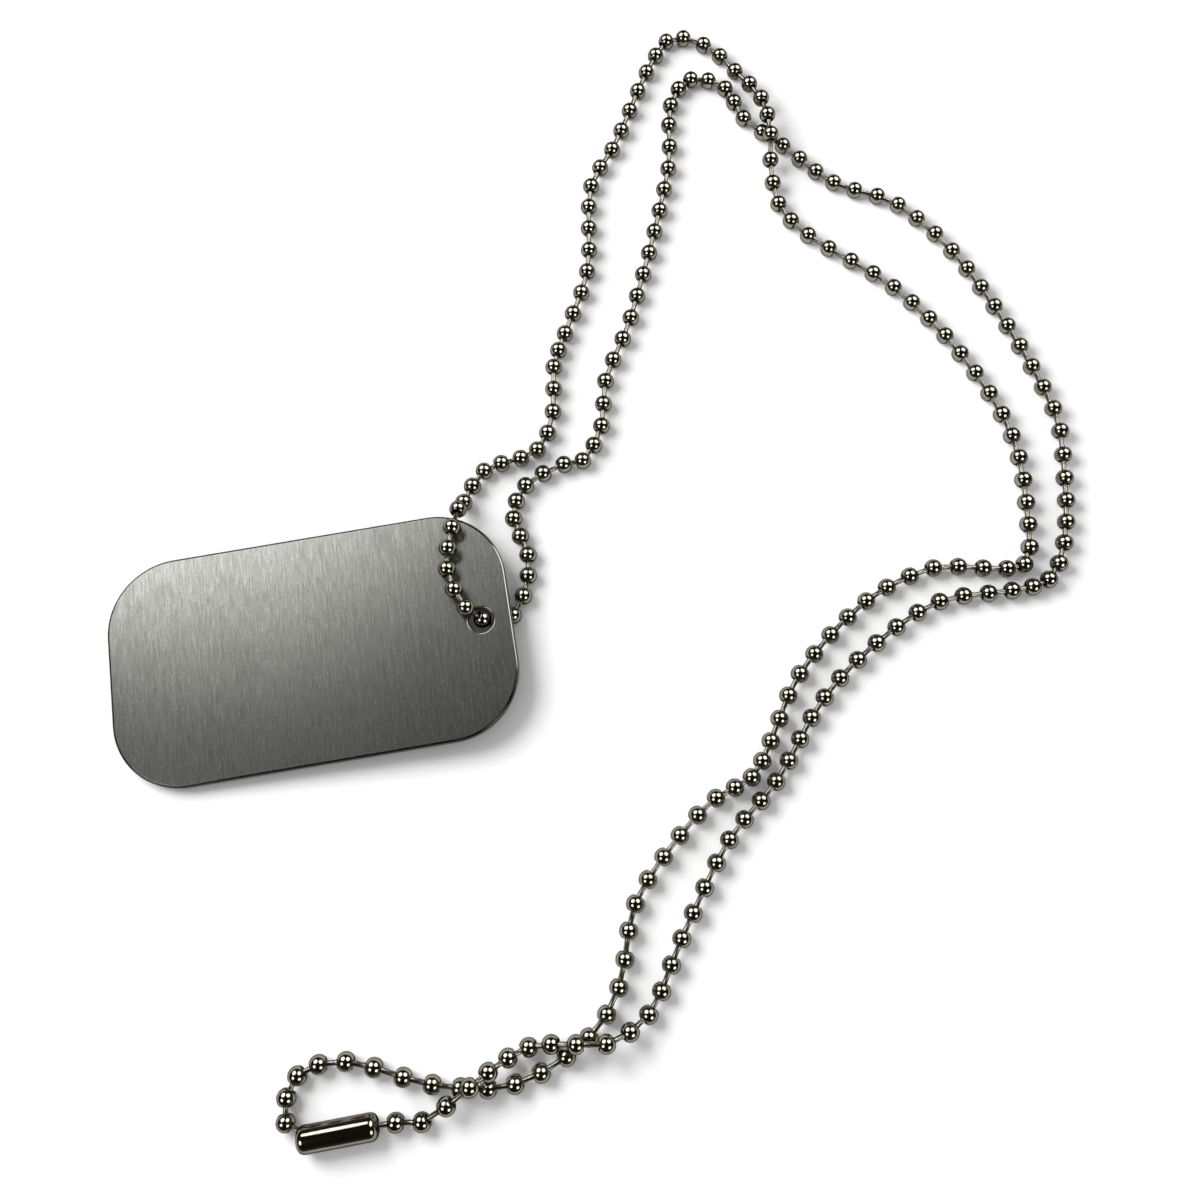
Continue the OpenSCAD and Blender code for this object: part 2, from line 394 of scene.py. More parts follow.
def neighbour_ways(i):
    """The ways from a ball to the one before it and the one after it"""
    ahead = (balls[min(i + 1, len(balls) - 1)] - balls[i]).normalized()
    back = (balls[max(i - 1, 0)] - balls[i]).normalized()
    if back.length == 0:
        back = -ahead
    if ahead.length == 0:
        ahead = -back
    return back, ahead


def add_ball(bm, near_hole, i):
    """Adds one ball, and marks how near each vertex is to a hole"""
    back, ahead = neighbour_ways(i)
    along = (ahead - back).normalized()
    stand = Vector((0, 0, 1)).rotation_difference(along)
    leans = {True: along.rotation_difference(ahead), False: (-along).rotation_difference(back)}
    known = len(bm.verts)
    bm.from_mesh(one_ball)
    bm.verts.ensure_lookup_table()
    for vert in bm.verts[known:]:
        height = vert.co.z / BALL_R
        lean = Quaternion().slerp(leans[height > 0], min(abs(height), 1))
        vert[near_hole] = abs(height) ** HOLE_MARK_POWER
        vert.co = lean @ (stand @ vert.co) + balls[i]


bends = [math.pi - back.angle(ahead) for back, ahead in map(neighbour_ways, range(len(balls)))]
print("the chain bends up to", round(math.degrees(max(bends))), "degrees at one ball")

# %% [markdown]
# ## Patterns for steel
#
# Every piece is steel, but each has its own marks. A pattern is a noise that is stretched along
# the way in which the metal was drawn or brushed. It could be painted as a picture, but a noise
# stays sharp close up. The first helpers lay such a noise over a piece.

# %% Lay a pattern over a piece
def object_place(tree):
    """Where a point lies on the object"""
    return tree.nodes.new("ShaderNodeTexCoord").outputs["Object"]


def vertex_mark(tree, name):
    """A number that each vertex carries under a name"""
    node = tree.nodes.new("ShaderNodeAttribute")
    node.attribute_name = name
    return node.outputs["Fac"]


def stretched(tree, source, turn, cell):
    """Coordinates in which one unit is cell millimetres long, turned by an angle about Z"""
    turned = tree.nodes.new("ShaderNodeMapping")
    turned.inputs["Rotation"].default_value = (0, 0, -turn)
    tree.links.new(source, turned.inputs["Vector"])
    scaled = tree.nodes.new("ShaderNodeMapping")
    scaled.inputs["Scale"].default_value = [1 / (side * MM) for side in cell]
    tree.links.new(turned.outputs["Vector"], scaled.inputs["Vector"])
    return scaled.outputs["Vector"]


def noise(tree, place, detail=2.0, roughness=0.5):
    """A grey noise over the given coordinates"""
    texture = tree.nodes.new("ShaderNodeTexNoise")
    texture.inputs["Scale"].default_value = 1
    texture.inputs["Detail"].default_value = detail
    texture.inputs["Roughness"].default_value = roughness
    tree.links.new(place, texture.inputs["Vector"])
    return texture.outputs["Fac"]


print("patterns can be laid, stretched and turned")

# %% [markdown]
# The other helpers use a pattern in three ways: for the colour, for the gloss and for tiny
# grooves. Each adds one node, so a material reads like a recipe. A name that ends in RANGE
# holds the two values of a pattern between which a finish changes. Nearly all of a noise lies
# between 0.3 and 0.7, and that range is used where no other one is asked for.

# %% Use a pattern
NOISE_RANGE = (0.3, 0.7)
GROOVE_STRENGTH = 0.5


def feed(tree, socket, value):
    """Gives a socket a fixed value or another node's output"""
    if isinstance(value, bpy.types.NodeSocket):
        tree.links.new(value, socket)
    else:
        socket.default_value = value


def remap(tree, value, low, high, new_low, new_high):
    """Stretches a value from one range to another and clips it there"""
    node = tree.nodes.new("ShaderNodeMapRange")
    names = ("Value", "From Min", "From Max", "To Min", "To Max")
    for name, setting in zip(names, (value, low, high, new_low, new_high)):
        feed(tree, node.inputs[name], setting)
    return node.outputs["Result"]


def combine(tree, operation, first, second):
    """One sum, product, smaller or larger value of two"""
    node = tree.nodes.new("ShaderNodeMath")
    node.operation = operation
    feed(tree, node.inputs[0], first)
    feed(tree, node.inputs[1], second)
    return node.outputs["Value"]


def blend_colours(tree, share, first, second):
    """A colour between two, which may be colours or outputs of nodes"""
    node = tree.nodes.new("ShaderNodeMix")
    node.data_type = "RGBA"
    # The node has an A, a B and a Result for each kind of data, so these go by their numbers.
    feed(tree, node.inputs["Factor"], share)
    feed(tree, node.inputs[6], first)
    feed(tree, node.inputs[7], second)
    return node.outputs[2]


def groove(tree, shader, height, depth):
    """Grooves that follow a pattern, with a depth in millimetres"""
    bump = tree.nodes.new("ShaderNodeBump")
    bump.inputs["Strength"].default_value = GROOVE_STRENGTH
    bump.inputs["Distance"].default_value = depth * MM
    tree.links.new(height, bump.inputs["Height"])
    tree.links.new(bump.outputs["Normal"], shader.inputs["Normal"])


print("patterns can change colour, gloss and grooves")

# %% [markdown]
# The balls' steel is bright, and it looks black and white in turn because it mirrors the lights
# and the dark room. A perfect mirror would look too clean, so faint dull spots are laid over it,
# and dirt gathers round the holes, where nothing rubs it off.

# %% Make the balls' steel
BALL_COLOUR = (0.221, 0.210, 0.177, 1)
BALL_LIGHTER = (0.278, 0.264, 0.223, 1)
BALL_GRIME = (0.05, 0.045, 0.04, 1)
BALL_GLOSS = 0.04
BALL_DULL = 0.09
BALL_SPOT = (0.9, 0.9, 0.9)
BALL_GRAIN = (0.12, 0.12, 0.12)
BALL_GRAIN_DEPTH = 0.004
BALL_TONE_RANGE = (0.35, 0.65)
BALL_DULL_RANGE = (0.4, 0.7)
BALL_GRIME_RANGE = (0.42, 0.85)
BALL_GRIME_MOST = 0.85
BALL_GRIME_GAP_RANGE = (0.3, 0.6)
BALL_GRIME_IN_GAPS = 0.6
BALL_GRIME_DULL = 0.25
STEEL_EDGE_TINT = (0.2, 0.2, 0.2, 1)


def polished_ball_steel():
    """Bright steel with faint dull spots, and dirt round the holes"""
    material, tree, shader = new_material("polished_ball_steel", BALL_COLOUR, BALL_GLOSS, 1)
    place = object_place(tree)
    spots = noise(tree, stretched(tree, place, 0, BALL_SPOT), detail=4)
    grain = noise(tree, stretched(tree, place, 0, BALL_GRAIN), detail=2)
    dirt = remap(tree, vertex_mark(tree, "near_hole"), *BALL_GRIME_RANGE, 0, BALL_GRIME_MOST)
    gaps = remap(tree, spots, *BALL_GRIME_GAP_RANGE, BALL_GRIME_IN_GAPS, 1)
    dirt = combine(tree, "MULTIPLY", dirt, gaps)
    tone = remap(tree, spots, *BALL_TONE_RANGE, 0, 1)
    tone = blend_colours(tree, tone, BALL_COLOUR, BALL_LIGHTER)
    tree.links.new(blend_colours(tree, dirt, tone, BALL_GRIME), shader.inputs["Base Color"])
    dull = remap(tree, spots, *BALL_DULL_RANGE, BALL_GLOSS, BALL_DULL)
    dull = combine(tree, "ADD", dull, combine(tree, "MULTIPLY", dirt, BALL_GRIME_DULL))
    tree.links.new(dull, shader.inputs["Roughness"])
    groove(tree, shader, grain, BALL_GRAIN_DEPTH)
    shader.inputs["Specular Tint"].default_value = STEEL_EDGE_TINT
    return material


ball_steel = polished_ball_steel()
print(ball_steel.name, "of", len(ball_steel.node_tree.nodes), "nodes")

# %% [markdown]
# All the balls are one object, as they are one node in the construction model, and one modifier
# rounds them all.

# %% Put a ball at each middle
def smooth_faces(bm):
    """Shades every face as part of a round surface"""
    for face in bm.faces:
        face.smooth = True


def round_off(piece, levels):
    """Rounds a coarse cage with a Subdivision Surface modifier"""
    rounding = piece.modifiers.new("rounding", "SUBSURF")
    rounding.levels = levels
    rounding.render_levels = levels


chain_bm = bmesh.new()
near_hole_layer = chain_bm.verts.layers.float.new("near_hole")
for ball_number in range(len(balls)):
    add_ball(chain_bm, near_hole_layer, ball_number)
smooth_faces(chain_bm)
chain_balls = object_from(chain_bm, "chain_balls", ball_steel)
round_off(chain_balls, 1)
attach(chain_balls, "root")
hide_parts("ball_chain")
print("chain_balls:", len(chain_balls.data.polygons), "faces before rounding")

# %% [markdown]
# ## The pins
#
# The balls are joined by short pins with a button head at each end, and a head sits inside each
# of the two balls. The pins' lengths differ a little, because the chain is slack in some places
# and taut in others. So each pin's section is drawn to its own length, spun and turned into place.

# %% Draw, spin and turn one pin
PIN_R = 0.31 * MM
PIN_HEAD_R = 0.56 * MM
PIN_HEAD_TOP = 0.12 * MM
PIN_HEAD_FOOT = 0.50 * MM
PIN_HEAD_TAPER = 0.8
PIN_SIDES = 6


def add_pin(bm, start, end):
    """Adds the pin between two balls' middles"""
    way = end - start
    half = [
        (0, PIN_HEAD_TOP), (PIN_HEAD_TAPER * PIN_HEAD_R, PIN_HEAD_TOP),
        (PIN_HEAD_R, PIN_HEAD_TAPER * PIN_HEAD_FOOT), (PIN_R, PIN_HEAD_FOOT),
    ]
    section = half + [(r, way.length - z) for r, z in reversed(half)]
    part = bmesh.new()
    first = bmesh.ops.create_vert(part, co=(section[0][0], 0, section[0][1]))["vert"][0]
    draw_path(part, first, [(r, 0, z) for r, z in section[1:]])
    spin_round_z(part, PIN_SIDES)
    bmesh.ops.rotate(part, cent=(0, 0, 0), verts=part.verts,
                     matrix=Vector((0, 0, 1)).rotation_difference(way).to_matrix())
    bmesh.ops.translate(part, vec=start, verts=part.verts)
    mesh = bpy.data.meshes.new("one_pin")
    part.to_mesh(mesh)
    part.free()
    bm.from_mesh(mesh)
    bpy.data.meshes.remove(mesh)


print("pins", round(2 * PIN_R / MM, 2), "mm thick, heads", round(2 * PIN_HEAD_R / MM, 2), "mm")

# %% [markdown]
# The pins are drawn wire that nothing polishes, so they are duller than the balls and have small
# dark marks.

# %% Make the pins' steel and place the pins
PIN_COLOUR = (0.245, 0.232, 0.195, 1)
PIN_DARKER = (0.112, 0.107, 0.09, 1)
PIN_GLOSS = 0.14
PIN_DULL = 0.3
PIN_MARK = (0.25, 0.25, 0.25)
PIN_MARK_DEPTH = 0.01


def drawn_pin_steel():
    """Wire steel, a little duller than the balls"""
    material, tree, shader = new_material("drawn_pin_steel", PIN_COLOUR, PIN_GLOSS, 1)
    marks = noise(tree, stretched(tree, object_place(tree), 0, PIN_MARK), detail=3)
    tone = blend_colours(tree, remap(tree, marks, *NOISE_RANGE, 0, 1), PIN_COLOUR, PIN_DARKER)
    tree.links.new(tone, shader.inputs["Base Color"])
    dull = remap(tree, marks, *NOISE_RANGE, PIN_GLOSS, PIN_DULL)
    tree.links.new(dull, shader.inputs["Roughness"])
    groove(tree, shader, marks, PIN_MARK_DEPTH)
    return material


pins_bm = bmesh.new()
for ball_before, ball_after in zip(balls, balls[1:]):
    add_pin(pins_bm, ball_before, ball_after)
smooth_faces(pins_bm)
chain_pins = object_from(pins_bm, "chain_pins", drawn_pin_steel())
round_off(chain_pins, 1)
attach(chain_pins, "root")
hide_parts("link_pins")
print("chain_pins:", len(chain_pins.data.polygons), "faces before rounding")

# %% [markdown]
# ## The tag
#
# The tag is a stamped plate with large round corners and a hole at one end. A square grid of one
# face gets its corners from a vertex bevel, which makes truer arcs than points set by hand.

# %% Draw the tag's outline and its hole
TAG_LENGTH = 50.8 * MM
TAG_WIDTH = 29.2 * MM
TAG_CORNER_R = 9.0 * MM
TAG_HOLE_R = 1.6 * MM
CORNER_STEPS = 20
HOLE_SIDES = 48


def tag_outline(bm):
    """The edges of a rectangle with round corners, about the origin"""
    bmesh.ops.create_grid(bm, x_segments=1, y_segments=1, size=0.5)
    bmesh.ops.scale(bm, vec=(TAG_LENGTH, TAG_WIDTH, 1), verts=bm.verts)
    bmesh.ops.bevel(bm, geom=bm.verts[:], affect="VERTICES", offset=TAG_CORNER_R,
                    offset_type="OFFSET", segments=CORNER_STEPS, profile=0.5, material=-1)
    bmesh.ops.delete(bm, geom=bm.faces[:], context="FACES_ONLY")
    return bm.edges[:]


def hole_outline(bm, centre):
    """The edges of the tag's round hole"""
    made = bmesh.ops.create_circle(bm, segments=HOLE_SIDES, radius=TAG_HOLE_R,
                                   matrix=Matrix.Translation(centre.to_3d()))
    return list(dict.fromkeys(edge for vert in made["verts"] for edge in vert.link_edges))


print("tag", round(TAG_LENGTH / MM, 1), "by", round(TAG_WIDTH / MM, 1), "mm")

# %% [markdown]
# The tag's rims are tumbled smooth. The outline rolls over the rim in a few steps, as the hole's
# edge does, and the flat between the two is filled. The lower half is the mirror of the upper
# one, so both faces are alike.

# %% Roll the rims and close the plate
TAG_THICKNESS = 1.3 * MM
TAG_RIM_R = 0.35 * MM
TAG_HOLE_RIM_R = 0.2 * MM
TAG_HOLE_INSET = 3.9 * MM
RIM_STEPS = 5


def roll_over_rim(bm, edges, centres, radius, rim_r, inwards):
    """Raises a loop of edges and rolls it over a round rim, and gives its last edges"""
    for k in range(RIM_STEPS + 1):
        angle = math.radians(90) * k / RIM_STEPS
        new_radius = radius - inwards * rim_r * (1 - math.cos(angle))
        height = TAG_THICKNESS / 2 - rim_r * (1 - math.sin(angle))
        made = bmesh.ops.extrude_edge_only(bm, edges=edges)["geom"]
        verts = [part for part in made if isinstance(part, bmesh.types.BMVert)]
        edges = [part for part in made if isinstance(part, bmesh.types.BMEdge)
                 and part.verts[0] in verts and part.verts[1] in verts]
        for vert in verts:
            centre = min(centres, key=lambda c: (c - vert.co.xy).length)
            outward = (vert.co.xy - centre).normalized()
            vert.co.xy = centre + outward * new_radius
            vert.co.z = height
    return edges


def cut_tag():
    """The whole plate about the origin, with its hole near the +X end"""
    bm = bmesh.new()
    corner_x = TAG_LENGTH / 2 - TAG_CORNER_R
    corner_y = TAG_WIDTH / 2 - TAG_CORNER_R
    corners = [Vector((x, y)) for x in (-corner_x, corner_x) for y in (-corner_y, corner_y)]
    hole_middle = Vector((TAG_LENGTH / 2 - TAG_HOLE_INSET, 0))
    outline = roll_over_rim(bm, tag_outline(bm), corners, TAG_CORNER_R, TAG_RIM_R, 1)
    hole = roll_over_rim(bm, hole_outline(bm, hole_middle), [hole_middle],
                         TAG_HOLE_R, TAG_HOLE_RIM_R, -1)
    bmesh.ops.triangle_fill(bm, use_beauty=True, edges=outline + hole, normal=(0, 0, 1))
    bmesh.ops.mirror(bm, geom=bm.verts[:] + bm.edges[:] + bm.faces[:], axis="Z",
                     merge_dist=SAME_POINT)
    bmesh.ops.remove_doubles(bm, verts=bm.verts, dist=SAME_POINT)
    bmesh.ops.recalc_face_normals(bm, faces=bm.faces)
    return bm


tag_bm = cut_tag()
print("tag_plate:", len(tag_bm.faces), "faces")

# %% [markdown]
# The brush ran across the tag. A UV map that runs along the tag tells the shader which way that
# is. The vertices also carry two marks for the colour and gloss: how far each lies over a rim,
# and whether it is at the hole's end, where the rims are not painted dark with shade.

# %% Mark the rims and map the tag
UNSHADED_RIM_LENGTH = 6.0 * MM
UNSHADED_RIM_HALF_WIDTH = 9.0 * MM


def mark_rims(bm):
    """Marks how far each vertex lies over a rim, and where the rims keep steel colour, not painted
    shade
    """
    over_rim = bm.verts.layers.float.new("over_rim")
    unshaded = bm.verts.layers.float.new("unshaded")
    for vert in bm.verts:
        depth = TAG_THICKNESS / 2 - abs(vert.co.z)
        vert[over_rim] = min(depth / TAG_HOLE_RIM_R, 1)
        # The rims at the hole's end keep a steel colour; all other rims get painted shade.
        near_end = vert.co.x > TAG_LENGTH / 2 - UNSHADED_RIM_LENGTH
        vert[unshaded] = float(near_end and abs(vert.co.y) < UNSHADED_RIM_HALF_WIDTH)


def map_along(bm, length):
    """A UV map whose U runs along X and whose V runs along Y"""
    layer = bm.loops.layers.uv.new("along")
    for face in bm.faces:
        for loop in face.loops:
            loop[layer].uv = loop.vert.co.xy / length + Vector((0.5, 0.5))


mark_rims(tag_bm)
map_along(tag_bm, TAG_LENGTH)
print("rims rubbed bright over the last", round(UNSHADED_RIM_LENGTH / MM, 1), "mm")

# %% [markdown]
# The plate is tilted and turned as in the construction model: its plain end lies on the floor
# and its other end on the chain. The rims are shaded round. The flats are filled with long
# triangles, on which round shading would bend the light, so they are shaded flat.

# %% Lay the tag in place and shade it
TAG_TURN = math.radians(9.4)
TAG_HOLE_LIFT = 2.33 * MM
TAG_TILT = math.asin(TAG_HOLE_LIFT / (TAG_LENGTH - TAG_HOLE_INSET))
TAG_SHARP = math.radians(30)


def corners_of(bm):
    """The lowest and the highest corner of a bmesh's box"""
    low = Vector([min(vert.co[axis] for vert in bm.verts) for axis in range(3)])
    high = Vector([max(vert.co[axis] for vert in bm.verts) for axis in range(3)])
    return low, high


def seat_in_box(bm, node):
    """Moves a bmesh so that its box and a node's box have the same middle"""
    low, high = corners_of(bm)
    node_low, node_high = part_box(node)
    bmesh.ops.translate(bm, vec=(node_low + node_high - low - high) / 2, verts=bm.verts)
    change = (high - low) - (node_high - node_low)
    print(node, "box differs by", [round(side / MM, 3) for side in change], "mm")


def sharpen(bm, angle):
    """Rounds the shading everywhere but over edges that bend by more than an angle"""
    smooth_faces(bm)
    for edge in bm.edges:
        edge.smooth = edge.calc_face_angle(0) < angle


tag_way = Matrix.Rotation(TAG_TURN, 3, "Z") @ Matrix.Rotation(-TAG_TILT, 3, "Y")
bmesh.ops.rotate(tag_bm, cent=(0, 0, 0), matrix=tag_way, verts=tag_bm.verts)
seat_in_box(tag_bm, "tag")
sharpen(tag_bm, TAG_SHARP)
flats = [face for face in tag_bm.faces if len(face.verts) == 3]
for flat in flats:
    flat.smooth = False
print(len(flats), "triangles fill the flats")

# %% [markdown]
# A worn tag has scratches and specks. The scratches are two thin noises that cross, and they
# show in a few patches only, because a tag is scratched where it rubs. The specks are the rare
# peaks of a small noise.

# %% Scratch and speck the tag
SCAR_PATCH = (11, 11, 11)
SCAR_PATCH_RANGE = (0.56, 0.66)
SCRATCH = (2.2, 0.09, 2.2)
SCRATCH_TURN = math.radians(60)
CROSS_SCRATCH = (3.0, 0.08, 3.0)
CROSS_SCRATCH_TURN = math.radians(-20)
SCRATCH_RANGE = (0.68, 0.74)
SCRATCH_STRENGTH = 0.5
SPECK = (0.3, 0.45, 0.45)
SPECK_RANGE = (0.86, 0.9)
SPECK_STRENGTH = 0.9


def worn_marks(tree, place):
    """Where the tag is scarred: a few patches of short scratches, and specks far apart"""
    patches = noise(tree, stretched(tree, place, 0, SCAR_PATCH))
    scratches = noise(tree, stretched(tree, place, SCRATCH_TURN, SCRATCH), detail=1)
    crossing = noise(tree, stretched(tree, place, CROSS_SCRATCH_TURN, CROSS_SCRATCH), detail=1)
    lines = combine(tree, "MAXIMUM", scratches, crossing)
    lines = remap(tree, lines, *SCRATCH_RANGE, 0, SCRATCH_STRENGTH)
    lines = combine(tree, "MULTIPLY", lines, remap(tree, patches, *SCAR_PATCH_RANGE, 0, 1))
    specks = noise(tree, stretched(tree, place, TAG_TURN, SPECK), detail=0)
    specks = remap(tree, specks, *SPECK_RANGE, 0, SPECK_STRENGTH)
    return combine(tree, "MAXIMUM", lines, specks)


print("scratches", SCRATCH[1], "mm wide in patches of", SCAR_PATCH[0], "mm")

# %% [markdown]
# The brush leaves strokes of several sizes. A sum of three noises gives them: fine strokes, long
# strokes, and a grit that breaks them up. One noise alone would look too even.

# %% Stroke the tag
FINE_STROKE = (0.2, 2.4, 2.4)
LONG_STROKE = (0.25, 25.0, 25.0)
GRIT = (0.2, 0.3, 0.3)
FINE_SHARE = 0.62
LONG_SHARE = 0.18
GRIT_SHARE = 0.2


def brush_strokes(tree, place):
    """Fine strokes, long strokes and grit, all across the tag"""
    fine = noise(tree, stretched(tree, place, TAG_TURN, FINE_STROKE), detail=3, roughness=0.7)
    long = noise(tree, stretched(tree, place, TAG_TURN, LONG_STROKE), detail=2)
    grit = noise(tree, stretched(tree, place, TAG_TURN, GRIT), detail=1)
    strokes = combine(tree, "ADD", combine(tree, "MULTIPLY", fine, FINE_SHARE),
                      combine(tree, "MULTIPLY", long, LONG_SHARE))
    return combine(tree, "ADD", strokes, combine(tree, "MULTIPLY", grit, GRIT_SHARE))


print("fine strokes", FINE_STROKE[0], "mm wide and", FINE_STROKE[1], "mm long")

# %% [markdown]
# Brushed steel scatters light more across its strokes than along them. The shader's anisotropy
# does that, with the tangent along the tag. The rims were not brushed: they are smooth, and painted
# shade colours them nearly black but for the end by the hole, and the walls below them dark.

# %% Brush the tag
TAG_COLOUR = (0.253, 0.254, 0.238, 1)
TAG_DARKER = (0.138, 0.139, 0.128, 1)
TAG_SCAR = (0.10, 0.10, 0.09, 1)
TAG_RIM = (0.17, 0.17, 0.16, 1)
# Painted shade: nearly black rims, so that they mirror no lights but at the hole's end.
TAG_RIM_PAINTED_SHADE = (0.025, 0.025, 0.023, 1)
# Painted shade: dark side walls, so that they mirror little of the bright floor.
TAG_WALL_PAINTED_SHADE = (0.05, 0.05, 0.047, 1)
TAG_STROKE_DULL = 0.30
TAG_STROKE_GLOSS = 0.26
TAG_RIM_GLOSS = 0.11
TAG_TONE_RANGE = (0.37, 0.63)
TAG_RIM_SHADE_RANGE = (0, 0.04)
TAG_RIM_GLOSS_RANGE = (0, 0.03)
TAG_WALL_SHADE_RANGE = (0.25, 0.7)
TAG_CLOUD = (9.0, 12.0, 12.0)
TAG_CLOUD_SHARE = 0.02
TAG_STROKE_DEPTH = 0.0035
TAG_ANISOTROPY = 0.2


def brushed_tag_steel():
    """Steel brushed across the tag, with a few scratches and specks"""
    material, tree, shader = new_material("brushed_tag_steel", TAG_COLOUR, TAG_STROKE_DULL, 1)
    place = object_place(tree)
    strokes = brush_strokes(tree, place)
    cloud = noise(tree, stretched(tree, place, TAG_TURN, TAG_CLOUD), detail=2)
    cloud = remap(tree, cloud, *NOISE_RANGE, -TAG_CLOUD_SHARE, TAG_CLOUD_SHARE)
    tone = remap(tree, combine(tree, "ADD", strokes, cloud), *TAG_TONE_RANGE, 0, 1)
    steel = blend_colours(tree, tone, TAG_DARKER, TAG_COLOUR)
    steel = blend_colours(tree, worn_marks(tree, place), steel, TAG_SCAR)
    over = vertex_mark(tree, "over_rim")
    # Painted shade: the rims are coloured nearly black, but for the end by the hole.
    rim = blend_colours(tree, vertex_mark(tree, "unshaded"), TAG_RIM_PAINTED_SHADE, TAG_RIM)
    steel = blend_colours(tree, remap(tree, over, *TAG_RIM_SHADE_RANGE, 0, 1), steel, rim)
    # Painted shade: the walls below the rims are coloured dark.
    steel = blend_colours(tree, remap(tree, over, *TAG_WALL_SHADE_RANGE, 0, 1), steel, TAG_WALL_PAINTED_SHADE)
    tree.links.new(steel, shader.inputs["Base Color"])
    gloss = remap(tree, strokes, *NOISE_RANGE, TAG_STROKE_DULL, TAG_STROKE_GLOSS)
    gloss = remap(tree, over, *TAG_RIM_GLOSS_RANGE, gloss, TAG_RIM_GLOSS)
    tree.links.new(gloss, shader.inputs["Roughness"])
    groove(tree, shader, strokes, TAG_STROKE_DEPTH)
    shader.inputs["Anisotropic"].default_value = TAG_ANISOTROPY
    brush_way = tree.nodes.new("ShaderNodeTangent")
    brush_way.direction_type = "UV_MAP"
    brush_way.uv_map = "along"
    tree.links.new(brush_way.outputs["Tangent"], shader.inputs["Tangent"])
    return material


tag_plate = object_from(tag_bm, "tag_plate", brushed_tag_steel())
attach(tag_plate, "root")
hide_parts("tag")
print("tag_plate brushed, roughness", TAG_STROKE_GLOSS, "to", TAG_STROKE_DULL)

# %% [markdown]
# ## The connector
#
# The connector is a strip of sheet steel that is rolled into a tube, with its ends drawn in. It
# holds the chain's two end balls. The section of its wall is drawn from end to end and spun a
# full turn. It is spun fine, because a modifier would round the slot's sharp edges too.

# %% Spin the connector's wall
TUBE_LENGTH = 9.2 * MM
TUBE_R = 1.6 * MM
TUBE_WALL = 0.3 * MM
TUBE_END_R = 0.9 * MM
TUBE_END_HOLE_R = 0.675 * MM
TUBE_SIDES = 64
TUBE_END_STEPS = 8


def end_arc(radius, round_r, half_length):
    """Points of a tube's drawn-in end, from the hole in the end out to the side"""
    centre_r = radius - round_r
    centre_z = half_length - round_r
    first = math.asin(max(TUBE_END_HOLE_R - centre_r, 0) / round_r)
    angles = [first + (math.pi / 2 - first) * k / TUBE_END_STEPS for k in range(TUBE_END_STEPS + 1)]
    return [(centre_r + round_r * math.sin(a), centre_z + round_r * math.cos(a)) for a in angles]


def spun_tube():
    """The closed wall of the tube about Z, before the slot"""
    outer = end_arc(TUBE_R, TUBE_END_R, TUBE_LENGTH / 2)
    inner = end_arc(TUBE_R - TUBE_WALL, TUBE_END_R - TUBE_WALL, TUBE_LENGTH / 2 - TUBE_WALL)
    inner[0] = (TUBE_END_HOLE_R, inner[0][1])
    upper = list(reversed(inner)) + outer
    section = upper + [(r, -z) for r, z in reversed(upper)]
    bm = bmesh.new()
    first = bmesh.ops.create_vert(bm, co=(section[0][0], 0, section[0][1]))["vert"][0]
    path = draw_path(bm, first, [(r, 0, z) for r, z in section[1:]])
    bmesh.ops.contextual_create(bm, geom=[path[-1], first])
    bmesh.ops.spin(bm, geom=bm.verts[:] + bm.edges[:], cent=(0, 0, 0), axis=(0, 0, 1),
                   angle=math.tau, steps=TUBE_SIDES, use_merge=True)
    bmesh.ops.remove_doubles(bm, verts=bm.verts, dist=SAME_POINT)
    bmesh.ops.recalc_face_normals(bm, faces=bm.faces)
    return bm


tube_bm = spun_tube()
print("connector wall:", len(tube_bm.faces), "faces")

# %% [markdown]
# The slot lets a ball in, and one pin leaves through it. Two planes cut it, because it is as wide
# at the drawn-in ends as in the middle, and no row of the spun faces is.

# %% Cut the connector's slot
TUBE_SLOT = 0.95 * MM


def cut_slot(bm):
    """Cuts the slot in the +X side, from end to end, and closes the wall's cut faces"""
    for side in (-1, 1):
        half = [face for face in bm.faces if face.calc_center_median().x > 0]
        parts = half + [part for face in half for part in (*face.edges, *face.verts)]
        bmesh.ops.bisect_plane(bm, geom=list(dict.fromkeys(parts)), dist=SAME_POINT,
                               plane_co=(0, side * TUBE_SLOT / 2, 0), plane_no=(0, 1, 0))
    gap = [face for face in bm.faces if face.calc_center_median().x > 0
           and abs(face.calc_center_median().y) < TUBE_SLOT / 2]
    bmesh.ops.delete(bm, geom=gap, context="FACES")
    for side in (-1, 1):
        rim = [edge for edge in bm.edges if edge.is_boundary and edge.verts[0].co.y * side > 0]
        bmesh.ops.contextual_create(bm, geom=rim)
    bmesh.ops.recalc_face_normals(bm, faces=bm.faces)


cut_slot(tube_bm)
print("connector_tube:", len(tube_bm.faces), "faces,",
      sum(edge.is_boundary for edge in tube_bm.edges), "open edges")

# %% [markdown]
# The tube's own way comes from its two end balls. The slot faces the pin that leaves sideways, so
# the tube's turn comes from the first two balls of the chain.

# %% Turn the connector into place
TUBE_SHARP = math.radians(35)

tube_way = (balls[-1] - balls[0]).normalized()
pin_way = balls[1] - balls[0]
slot_way = (pin_way - pin_way.project(tube_way)).normalized()
tube_turn = Matrix((slot_way, tube_way.cross(slot_way), tube_way)).transposed()
bmesh.ops.rotate(tube_bm, cent=(0, 0, 0), matrix=tube_turn, verts=tube_bm.verts)
seat_in_box(tube_bm, "connector")
sharpen(tube_bm, TUBE_SHARP)
print("slot faces", [round(part, 2) for part in slot_way])

# %% [markdown]
# The strip was rolled lengthwise before it was bent, so its steel is bright with fine lines along
# the tube, and small dull spots lie over them.

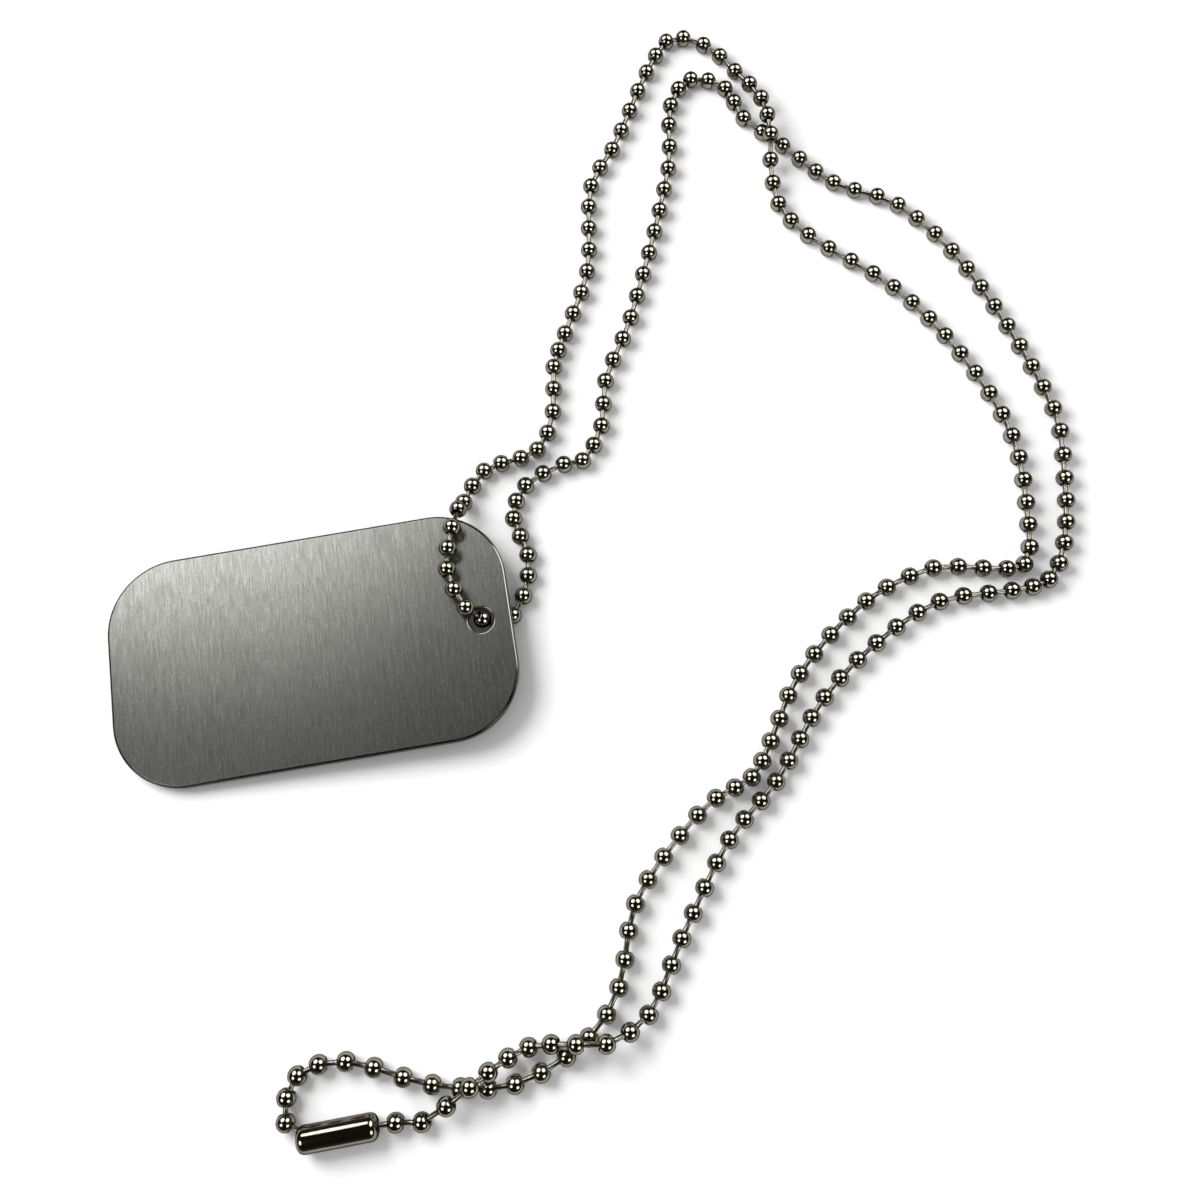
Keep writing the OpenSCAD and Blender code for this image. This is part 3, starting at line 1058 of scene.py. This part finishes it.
# %% Finish the connector
TUBE_COLOUR = (0.270, 0.251, 0.220, 1)
TUBE_DARKER = (0.190, 0.170, 0.146, 1)
TUBE_GLOSS = 0.07
TUBE_DULL = 0.13
TUBE_LINE = (3.0, 0.1, 0.1)
TUBE_SPOT = (1.2, 0.8, 0.8)
TUBE_LINE_SHARE = 0.5
TUBE_SPOT_SHARE = 0.5
TUBE_MARK_RANGE = (0.35, 0.65)


def rolled_tube_steel():
    """Bright sheet steel with fine lines along the tube"""
    material, tree, shader = new_material("rolled_tube_steel", TUBE_COLOUR, TUBE_GLOSS, 1)
    turn = math.atan2(tube_way.y, tube_way.x)
    place = object_place(tree)
    lines = noise(tree, stretched(tree, place, turn, TUBE_LINE), detail=3)
    spots = noise(tree, stretched(tree, place, turn, TUBE_SPOT), detail=4)
    marks = combine(tree, "ADD", combine(tree, "MULTIPLY", lines, TUBE_LINE_SHARE),
                    combine(tree, "MULTIPLY", spots, TUBE_SPOT_SHARE))
    tone = remap(tree, marks, *TUBE_MARK_RANGE, 0, 1)
    tone = blend_colours(tree, tone, TUBE_COLOUR, TUBE_DARKER)
    tree.links.new(tone, shader.inputs["Base Color"])
    dull = remap(tree, marks, *TUBE_MARK_RANGE, TUBE_GLOSS, TUBE_DULL)
    tree.links.new(dull, shader.inputs["Roughness"])
    shader.inputs["Specular Tint"].default_value = STEEL_EDGE_TINT
    return material


connector_tube = object_from(tube_bm, "connector_tube", rolled_tube_steel())
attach(connector_tube, "root")
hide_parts("connector")
print("connector_tube finished, roughness", TUBE_GLOSS, "to", TUBE_DULL)

# %% [markdown]
# ## Lights for single pieces
#
# The picture shows a thin bright line along the tube. The large upper left light would draw a
# broad band there, as it draws a broad patch on each ball. Light linking keeps that light off the
# tube, and a narrower light, which reaches only the tube, draws the line in its place.

# %% Draw the connector's thin highlight
TUBE_LIGHT = (-0.57, 0.74, 0.23, 5.4)


def link_light(lamp, piece, state):
    """Lets a light reach one piece alone, for INCLUDE, or all but that piece, for EXCLUDE"""
    reached = bpy.data.collections.new(lamp.name + "_reaches")
    reached.objects.link(piece)
    reached.collection_objects[0].light_linking.link_state = state
    lamp.light_linking.receiver_collection = reached


link_light(bpy.data.objects["upper_left"], connector_tube, "EXCLUDE")
link_light(hang_light("tube_light", *TUBE_LIGHT), connector_tube, "INCLUDE")
print("tube light", TUBE_LIGHT[2], "m wide")

# %% [markdown]
# The dark room leaves the flat tag black when it is seen from the side, where a steel plate would
# mirror pale walls. A ring of low soft lights stands in for those walls, and it reaches the tag
# alone. The lights hang too low to change how the tag looks from above.

# %% Ring the tag with low soft lights
SIDE_LIGHTS = 8
SIDE_SLOPE = 2.7
SIDE_WIDTH = 0.9
SIDE_BRIGHTNESS = 0.7

for side_number in range(SIDE_LIGHTS):
    side_angle = math.tau * side_number / SIDE_LIGHTS
    side_light = hang_light("side_light_" + str(side_number), SIDE_SLOPE * math.cos(side_angle),
                            SIDE_SLOPE * math.sin(side_angle), SIDE_WIDTH, SIDE_BRIGHTNESS)
    link_light(side_light, tag_plate, "INCLUDE")
print(SIDE_LIGHTS, "side lights for the tag")
